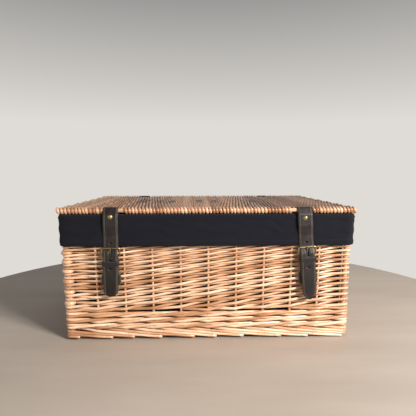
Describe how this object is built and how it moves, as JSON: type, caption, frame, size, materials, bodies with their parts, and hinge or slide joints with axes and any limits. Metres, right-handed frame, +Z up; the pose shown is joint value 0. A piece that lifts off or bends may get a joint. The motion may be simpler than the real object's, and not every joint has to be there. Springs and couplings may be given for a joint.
{
  "type": "hamper",
  "caption": "Rectangular woven willow hamper with a hinged lid, a dark cloth liner turned over the rim and leather buckle straps.",
  "frame": {"origin": "centre of the bounding box at floor level", "axes": "+Z up, front with the buckles towards -Y, +X to the right seen from the front"},
  "size_m": [0.51, 0.3756, 0.233],
  "materials": {
    "willow_weave": "buff willow, satin, honey to orange brown",
    "willow_stick": "buff willow rod, satin",
    "liner_cloth": "plain woven cotton, dark navy",
    "strap_leather": "smooth dark brown leather with burnished edges",
    "brass_fitting": "antique brass, tarnished"
  },
  "bodies": {
    "basket": {"foot_border": "willow_weave", "base_sticks": "willow_stick", "base_weave": "willow_weave", "upset_wale": "willow_weave", "top_border": "willow_weave", "corner_post_front_left": "willow_stick", "corner_post_front_right": "willow_stick", "corner_post_back_left": "willow_stick", "corner_post_back_right": "willow_stick", "stakes_front": "willow_stick", "stakes_back": "willow_stick", "stakes_left": "willow_stick", "stakes_right": "willow_stick", "weave_front": "willow_weave", "weave_back": "willow_weave", "weave_left": "willow_weave", "weave_right": "willow_weave", "liner_bag": "liner_cloth", "liner_cuff": "liner_cloth", "chape_left": "strap_leather", "chape_right": "strap_leather", "chape_rivets": "brass_fitting", "keeper_left": "strap_leather", "keeper_right": "strap_leather", "hinge_loop_left": "strap_leather", "hinge_loop_right": "strap_leather", "hinge_rivets": "brass_fitting"},
    "lid": {"lid_front_stick": "willow_stick", "lid_back_stick": "willow_stick", "lid_inner_sticks": "willow_stick", "lid_weave": "willow_weave"},
    "strap_left": {"strap_left": "strap_leather", "strap_rivet_left": "brass_fitting"},
    "buckle_left": {"buckle_frame_left": "brass_fitting"},
    "prong_left": {"buckle_prong_left": "brass_fitting"},
    "strap_right": {"strap_right": "strap_leather", "strap_rivet_right": "brass_fitting"},
    "buckle_right": {"buckle_frame_right": "brass_fitting"},
    "prong_right": {"buckle_prong_right": "brass_fitting"}
  },
  "joints": [
    {"name": "lid_hinge", "type": "hinge", "parent": "basket", "child": "lid", "pos_m": [0, 0.17462, 0.227], "axis": [-1, 0, 0], "range_deg": [0, 180]},
    {"name": "strap_left_swing", "type": "hinge", "parent": "lid", "child": "strap_left", "pos_m": [-0.16425, -0.17338, 0.227], "axis": [1, 0, 0], "range_deg": [0, 80], "deforming": ["strap_left"]},
    {"name": "buckle_left_swing", "type": "hinge", "parent": "basket", "child": "buckle_left", "pos_m": [-0.165, -0.18002, 0.151], "axis": [0.9999, 0, -0.0113], "range_deg": [0, 45]},
    {"name": "prong_left_swing", "type": "hinge", "parent": "buckle_left", "child": "prong_left", "pos_m": [-0.165, -0.18002, 0.151], "axis": [0.9999, 0, -0.0113], "range_deg": [0, 30]},
    {"name": "strap_right_swing", "type": "hinge", "parent": "lid", "child": "strap_right", "pos_m": [0.16425, -0.17338, 0.227], "axis": [1, 0, 0], "range_deg": [0, 80], "deforming": ["strap_right"]},
    {"name": "buckle_right_swing", "type": "hinge", "parent": "basket", "child": "buckle_right", "pos_m": [0.1694, -0.18002, 0.15121], "axis": [0.9967, 0, 0.0811], "range_deg": [0, 45]},
    {"name": "prong_right_swing", "type": "hinge", "parent": "buckle_right", "child": "prong_right", "pos_m": [0.1694, -0.18002, 0.15121], "axis": [0.9967, 0, 0.0811], "range_deg": [0, 30]}
  ],
  "couplings": [
    {"joint": "strap_left_swing", "follows": "lid_hinge", "ratio": 0.44444},
    {"joint": "strap_right_swing", "follows": "lid_hinge", "ratio": 0.44444}
  ]
}
